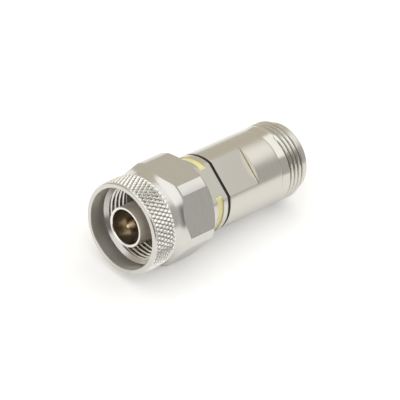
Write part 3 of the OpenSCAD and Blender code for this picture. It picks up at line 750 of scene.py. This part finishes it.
class AdapterJackBody(bpy.types.Operator):
    """Makes the jack body with its wrench flats, neck, thread and mouth"""
    bl_idname = "adapter.jack_body"
    bl_label = "Jack body"

    def execute(self, context):
        body = context.scene.adapter_body
        thread = context.scene.adapter_thread
        tints = context.scene.adapter_colours
        front, end = ends("jack_body")
        shoulder = ends("seam_ring")[1]
        step = shoulder + body.flat_length
        neck = shoulder + body.neck_start
        thread_front = neck + body.neck_width
        thread_back = thread_front + body.thread_width
        reference = end - body.mouth_depth
        round_start = neck - body.end_round
        normals = wrench_normals(body)
        angles = round_angles(BODY_COLUMNS, edge_angles(body.body_radius, body.flat_distance, normals))
        columns = len(angles)

        # A fine cut runs along the foot of the step that ends the wrench flats
        cut_place = step - body.corner_cut / 2
        flatted = soften([(front, body.line_radius), (front, body.spigot_radius),
                          (shoulder, body.spigot_radius), (shoulder, body.body_radius - body.edge),
                          (shoulder + body.edge, body.body_radius),
                          (step - body.corner_cut, body.body_radius)], body.fine_edge)
        flatted = np.concatenate([flatted, [(cut_place, body.body_radius), (step, body.body_radius)]])
        distance = np.full((len(flatted), 1), body.flat_distance)
        distance[-2] -= body.corner_cut / 2
        flat_place, flat_radius = rings(flatted, columns)
        flat_radius = np.minimum(flat_radius, distance * flat_reach(angles, 1, normals))

        barrel = np.concatenate([
            [(step, body.body_radius), (round_start - body.end_edge, body.body_radius)],
            arc((round_start, body.body_radius - body.end_round), body.end_round, np.pi / 2, 0,
                BODY_END_POINTS),
            [(neck, body.neck_foot)]])
        plain_end = soften([(thread_back, body.end_radius), (end - body.end_chamfer, body.end_radius),
                            (end, body.end_radius - body.end_chamfer),
                            (end, body.mouth_radius + body.mouth_chamfer),
                            (end - body.mouth_chamfer, body.mouth_radius), (reference, body.mouth_radius),
                            (reference, body.line_radius)], body.end_edge)

        # The neck slopes up to the thread, whose groove starts where the slope ends
        steps = int(JACK_TURN_STEPS * (thread_back - neck) / thread.pitch)
        screw = np.linspace(neck, thread_back, steps)[1:-1, None]
        rise = body.thread_radius - body.end_radius
        blank = np.interp(screw, [neck, neck + body.edge, thread_front, thread_back - rise, thread_back],
                          [body.neck_foot, body.neck_radius, body.thread_radius, body.thread_radius,
                           body.end_radius])
        start = body.thread_start / TURN
        first = thread_front - start * thread.pitch
        cut = groove_depth(screw, angles, first, thread.jack_depth, thread, start)

        blocks = [(flat_place, flat_radius), rings(barrel, columns),
                  (np.repeat(screw, columns, 1), np.minimum(blank, body.thread_radius - cut)),
                  rings(plain_end, columns)]
        place, radius = [np.concatenate(parts) for parts in zip(*blocks)]
        points, triangles = lathe(place, radius, angles)

        along, away = corner_places(points, triangles)
        # Painted light on the step's faces, whose steel is painted lighter, and painted shade in the fine
        # cut, whose steel is painted dark
        stepped = (np.abs(along - step) < CLOSE).all(1)
        nicked = (np.abs(along - cut_place) < CLOSE).any(1) & (away.min(1) < body.body_radius - CLOSE)
        outside = away.min(1) > body.mouth_radius + body.mouth_chamfer
        screwed = (along > thread_front - thread.pitch / 2).all(1) & (along < thread_back).all(1) & outside
        necked = (along >= neck).all(1) & (along < thread_front).all(1) & outside & ~screwed
        choice = on_flats(points, triangles, body.flat_distance, normals)
        choice += 2 * stepped + 3 * screwed + 4 * necked + 5 * nicked
        base = tints.body_steel
        root = body.thread_radius - thread.jack_depth
        finishes = [
            turned_stainless("Stainless steel, turned body", base, COARSE_FEED, SATIN),
            milled_stainless("Stainless steel, milled body flat", tints.flat_steel, MILLED),
            turned_stainless("Stainless steel, step painted light", tints.step_painted_light, COARSE_FEED, SATIN),
            grooved_stainless("Stainless steel, threaded", base, root, thread.jack_depth, THREADED_PAINTED_SHADING),
            turned_stainless("Stainless steel, burnished neck", base, COARSE_FEED, BURNISHED),
            turned_stainless("Stainless steel, cut painted shade", tints.cut_painted_shade, COARSE_FEED, NICKED)]
        add_piece("jack_shell", points, triangles, "jack_body", finishes, choice)
        return {"FINISHED"}


class AdapterContacts(bpy.types.Operator):
    """Makes the contact tube, the centre pin and the slotted socket"""
    bl_idname = "adapter.contacts"
    bl_label = "Contacts"

    def execute(self, context):
        contact = context.scene.adapter_contact
        tints = context.scene.adapter_colours
        gold = gold_plating("Gold plating", tints.gold_plate)

        front, back = ends("outer_contact")
        foot = ends("face_gasket")[0]
        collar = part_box("outer_contact")[1].z
        mouth = front + contact.contact_chamfer
        tube = soften([(mouth, contact.contact_bore), (front, contact.contact_bore + contact.contact_chamfer),
                       (front, contact.contact_radius), (foot, contact.contact_radius), (foot, collar),
                       (back, collar), (back, contact.contact_bore)], contact.contact_edge)
        points, triangles = lathe(*rings(tube, TUBE_COLUMNS), round_angles(TUBE_COLUMNS))
        along, away = [part.max(1) for part in corner_places(points, triangles)]
        walls = along > mouth
        lined = walls & (away < contact.contact_radius)
        finishes = [
            turned_stainless("Stainless steel, polished rim", tints.contact_rim, FINE_FEED, POLISHED),
            turned_stainless("Stainless steel, finely turned", tints.contact_steel, FINE_FEED, FINE_TURNED),
            turned_stainless("Stainless steel, bored line", tints.line_steel, FINE_FEED, FINE_BORED)]
        add_piece("contact_tube", points, triangles, "outer_contact", finishes, walls.astype(int) + lined)

        # The pin's round tip is tangent to the taper behind it
        tip, pin_back = ends("plug_pin")
        bead_front = ends("plug_bead")[0]
        pin_foot = tip + contact.pin_length
        taper = contact.nose_length - contact.tip_radius
        tip_end = np.arctan2(contact.pin_radius, taper)
        tip_end += np.arccos(contact.tip_radius / np.hypot(contact.pin_radius, taper))
        nose = arc((tip + contact.tip_radius, 0), contact.tip_radius, np.pi, tip_end, TIP_POINTS)
        nose[0, 1] = 0
        stem = soften([nose[-1], (tip + contact.nose_length, contact.pin_radius),
                       (pin_foot, contact.pin_radius), (pin_foot, contact.rod_radius),
                       (bead_front, contact.rod_radius), (bead_front, contact.spigot_radius),
                       (pin_back, contact.spigot_radius), (pin_back, 0)], contact.pin_edge)
        pin = np.concatenate([nose, stem[1:]])
        surface = lathe(*rings(pin, PIN_COLUMNS), round_angles(PIN_COLUMNS), closed=False)
        add_piece("centre_pin", *surface, "plug_pin", [gold])
        add_copy("line_rod", "inner_rod", gold)
        add_copy("slotted_socket", "jack_socket", gold)
        return {"FINISHED"}


class AdapterTrim(bpy.types.Operator):
    """Makes the marker band, the seam ring and the face gasket"""
    bl_idname = "adapter.trim"
    bl_label = "Marker and rings"

    def execute(self, context):
        contact = context.scene.adapter_contact
        body = context.scene.adapter_body
        tints = context.scene.adapter_colours
        normals = wrench_normals(body)

        front, back = ends("marker_band")
        section = soften([(front, contact.marker_inner), (front, contact.marker_outer),
                          (back, contact.marker_outer), (back, contact.marker_inner)], contact.marker_edge)
        add_piece("marker_arcs", *self.arcs(section, body.flat_distance, normals), "marker_band",
                  [baked_enamel("Enamel, baked yellow", tints.yellow_enamel)])

        front, back = ends("seam_ring")
        washer = soften([(front, contact.seam_bore), (front, contact.seam_radius),
                         (back, contact.seam_radius), (back, contact.seam_bore)], contact.seam_edge)
        angles = round_angles(SEAM_COLUMNS, edge_angles(contact.seam_radius, contact.seam_flat, normals))
        place, radius = rings(washer, len(angles))
        radius = np.minimum(radius, flat_reach(angles, contact.seam_flat, normals))
        add_piece("seam_washer", *lathe(place, radius, angles), "seam_ring",
                  [moulded_rubber("Rubber, moulded black", tints.seam_rubber, SEAM_GRAIN)])

        front, back = ends("face_gasket")
        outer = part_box("face_gasket")[1].z
        washer = soften([(back, contact.gasket_bore), (front, contact.gasket_bore), (front, outer),
                         (back, outer)], contact.gasket_edge)
        surface = lathe(*rings(washer, GASKET_COLUMNS), round_angles(GASKET_COLUMNS))
        add_piece("gasket_washer", *surface, "face_gasket",
                  [moulded_rubber("Rubber, moulded grey", tints.gasket_rubber, GASKET_GRAIN)])
        return {"FINISHED"}

    @staticmethod
    def arcs(section, distance, normals):
        """Two bands between the flats. Each point of the section is carried round from one flat to the other:
        it starts at the arc cosine of distance over its radius from one normal, and stops as far from the
        other."""
        place, radius = section.T[:, :, None]
        start = np.arccos(distance / radius)
        share = np.linspace(0, 1, MARKER_COLUMNS)
        turn = np.asarray(normals)[:, None, None] + start + share * (np.pi - 2 * start)
        place = np.broadcast_to(place, turn.shape)
        points = np.stack([place, radius * np.cos(turn), radius * np.sin(turn)], 3)
        rows = len(section)
        grid = np.arange(rows * MARKER_COLUMNS).reshape(rows, MARKER_COLUMNS)
        near, far = grid[:, :-1], grid[:, 1:]
        square = np.stack([near, far, np.roll(far, -1, 0), np.roll(near, -1, 0)], 2).reshape(-1, 4)
        side = np.concatenate([square[:, [0, 1, 2]], square[:, [0, 2, 3]]])
        fan = np.arange(1, rows - 1)
        cap = np.stack([np.zeros_like(fan), fan, fan + 1], 1)
        one = np.concatenate([side, grid[:, 0][cap], grid[:, -1][cap[:, ::-1]]])
        return points.reshape(-1, 3), np.concatenate([one, one + grid.size])


class AdapterInside(bpy.types.Operator):
    """Finishes the beads and the retaining ring inside the adapter"""
    bl_idname = "adapter.inside"
    bl_label = "Inside pieces"

    def execute(self, context):
        tints = context.scene.adapter_colours
        ptfe = white_ptfe("PTFE, turned white", tints.bead_plastic)
        add_copy("plug_disc", "plug_bead", ptfe)
        add_copy("jack_disc", "jack_bead", ptfe)
        spring = turned_stainless("Spring steel, drawn", tints.spring_steel, SPRING_FEED, DRAWN)
        add_copy("spring_ring", "retaining_ring", spring)
        return {"FINISHED"}


class AdapterStage(bpy.types.Operator):
    """Lays the paper floor, sets the light of the room and the camera"""
    bl_idname = "adapter.stage"
    bl_label = "Stage"

    def execute(self, context):
        scene = context.scene
        view = scene.adapter_view
        self.lay_floor(scene)
        self.light_room(scene, view)

        level_reach = np.cos(view.elevation)
        eye = Vector((level_reach * np.sin(view.azimuth), -level_reach * np.cos(view.azimuth),
                      np.sin(view.elevation)))
        level = Vector((0, 0, 1)).cross(eye).normalized()
        upright = eye.cross(level)
        right = level * np.cos(view.roll) + upright * np.sin(view.roll)
        turn = Matrix((right, eye.cross(right), eye)).transposed().to_4x4()
        camera = bpy.data.objects.new("camera", bpy.data.cameras.new("camera"))
        camera.data.angle = view.field
        camera.data.clip_start, camera.data.clip_end = 0.01, 20
        camera.matrix_world = Matrix.Translation(Vector(view.target) + eye * view.distance) @ turn
        scene.collection.objects.link(camera)
        scene.camera = camera
        scene.view_settings.view_transform = "Standard"
        # Light reaches the bottom of a steel bore only after many reflections
        scene.cycles.glossy_bounces = 12
        return {"FINISHED"}

    @staticmethod
    def lay_floor(scene):
        """Paper disc under the adapter: rings of points from 20 mm to 4 m that widen by a steady factor, on
        the plane through the rear edge of the nut's lowest flat and the lowest line of the jack's thread."""
        nut, body = scene.adapter_nut, scene.adapter_body
        low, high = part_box("coupling_nut")
        heel = high.x - nut.rear_chamfer + high.y - high.z
        toe = ends("seam_ring")[1] + body.neck_start + body.neck_width + body.thread_width
        toe -= body.thread_radius - body.end_radius
        rise = (-body.thread_radius - low.z) / (toe - heel)
        reach = np.concatenate([[0], np.geomspace(0.02, 4, 24)])[:, None]
        turn = np.arange(FLOOR_COLUMNS) * TURN / FLOOR_COLUMNS
        x, y = reach * np.cos(turn) + FLOOR_MIDDLE, reach * np.sin(turn)
        points = np.stack([x, y, low.z + rise * (x - heel)], 2).reshape(-1, 3)
        near = np.arange(len(points)).reshape(-1, FLOOR_COLUMNS)
        near[0] = 0
        far = np.roll(near, -1, 1)
        square = np.stack([near[:-1], near[1:], far[1:], far[:-1]], 2).reshape(-1, 4).tolist()
        # The first ring's squares meet in the middle and are triangles
        faces = [corners[:3] for corners in square[:FLOOR_COLUMNS]] + square[FLOOR_COLUMNS:]
        mesh = bpy.data.meshes.new("floor")
        mesh.from_pydata(points.tolist(), [], faces)
        mesh.materials.append(matt_paper("Paper, matt white", scene.adapter_colours.floor_paper))
        floor = bpy.data.objects.new("floor", mesh)
        scene.collection.objects.link(floor)

    @staticmethod
    def light_room(scene, view):
        """Long soft light overhead, leaning towards the camera. It fades to the walls of the room between 58
        and 69 degrees from its middle, and at two straight edges that run along the adapter, where y over z
        goes from an outer to an inner value. The room is darker behind the camera."""
        outside, within = np.cos(np.radians((69, 58)))
        edges = (-1.13, -0.83), (0.85, 0.45)
        darkened = 0.45
        world = bpy.data.worlds.new("room")
        world.use_nodes = True
        tree = world.node_tree
        tree.nodes.clear()
        direction = add(tree, "ShaderNodeTexCoord", {}, "Generated")
        toward = add(tree, "ShaderNodeSeparateXYZ", {0: direction}).node.outputs

        lamp = add(tree, "ShaderNodeVectorMath", {0: direction, 1: tuple(view.lamp)}, "Value",
                   operation="DOT_PRODUCT")
        overhead = add(tree, "ShaderNodeMapRange", {"Value": lamp, "From Min": outside, "From Max": within},
                       interpolation_type="SMOOTHSTEP")
        slant = add(tree, "ShaderNodeMath", {0: toward["Y"], 1: toward["Z"]}, operation="DIVIDE")
        for outer, inner in edges:
            edge = add(tree, "ShaderNodeMapRange", {"Value": slant, "From Min": outer, "From Max": inner},
                       interpolation_type="SMOOTHSTEP")
            overhead = add(tree, "ShaderNodeMath", {0: overhead, 1: edge}, operation="MULTIPLY")

        behind = add(tree, "ShaderNodeMapRange", {"Value": toward["Y"], "From Min": -0.5, "From Max": 0.5})
        wall = add(tree, "ShaderNodeMix", {0: behind, 6: (*view.horizon_front, 1),
                                           7: (*view.horizon_back, 1)}, 2, data_type="RGBA")
        camera_side = (np.sin(view.azimuth), -np.cos(view.azimuth), 0)
        facing = add(tree, "ShaderNodeVectorMath", {0: direction, 1: camera_side}, "Value",
                     operation="DOT_PRODUCT")
        dim = add(tree, "ShaderNodeMapRange", {"Value": facing, "From Min": 0.2, "From Max": 0.8,
                                               "To Min": 1.0, "To Max": darkened},
                  interpolation_type="SMOOTHSTEP")
        wall = add(tree, "ShaderNodeVectorMath", {0: wall, "Scale": dim}, operation="SCALE")

        bright = (view.sky, view.sky, view.sky, 1)
        sky = add(tree, "ShaderNodeMix", {0: overhead, 6: wall, 7: bright}, 2, data_type="RGBA")
        light = add(tree, "ShaderNodeBackground", {"Color": sky})
        fill(tree, tree.nodes.new("ShaderNodeOutputWorld"), {"Surface": light})
        scene.world = world


class AdapterPanel(bpy.types.Panel):
    """Lists the adapter's pieces in the sidebar"""
    bl_idname = "ADAPTER_PT_pieces"
    bl_label = "Coaxial adapter"
    bl_space_type = "VIEW_3D"
    bl_region_type = "UI"
    bl_category = "Adapter"

    def draw(self, context):
        for operator in OPERATORS:
            self.layout.operator(operator.bl_idname)
        for name, group in GROUPS.items():
            box = self.layout.box()
            box.label(text=group.__doc__)
            for key in group.__annotations__:
                box.prop(getattr(context.scene, name), key)


GROUPS = {
    "adapter_nut": AdapterNutSizes,
    "adapter_thread": AdapterThreadSizes,
    "adapter_body": AdapterBodySizes,
    "adapter_contact": AdapterContactSizes,
    "adapter_colours": AdapterColours,
    "adapter_view": AdapterView,
}
OPERATORS = (AdapterNut, AdapterPlugBody, AdapterJackBody, AdapterContacts, AdapterTrim, AdapterInside,
             AdapterStage)


def register():
    for group in (*GROUPS.values(), *OPERATORS, AdapterPanel):
        bpy.utils.register_class(group)
    for name, group in GROUPS.items():
        setattr(bpy.types.Scene, name, PointerProperty(type=group))


def unregister():
    for name in GROUPS:
        delattr(bpy.types.Scene, name)
    for group in (AdapterPanel, *reversed(OPERATORS), *reversed(GROUPS.values())):
        bpy.utils.unregister_class(group)


def main():
    """Registers the add-on, and makes every piece and the stage."""
    register()
    bpy.ops.adapter.nut()
    bpy.ops.adapter.plug_body()
    bpy.ops.adapter.jack_body()
    bpy.ops.adapter.contacts()
    bpy.ops.adapter.trim()
    bpy.ops.adapter.inside()
    bpy.ops.adapter.stage()


if __name__ == "__main__":
    main()
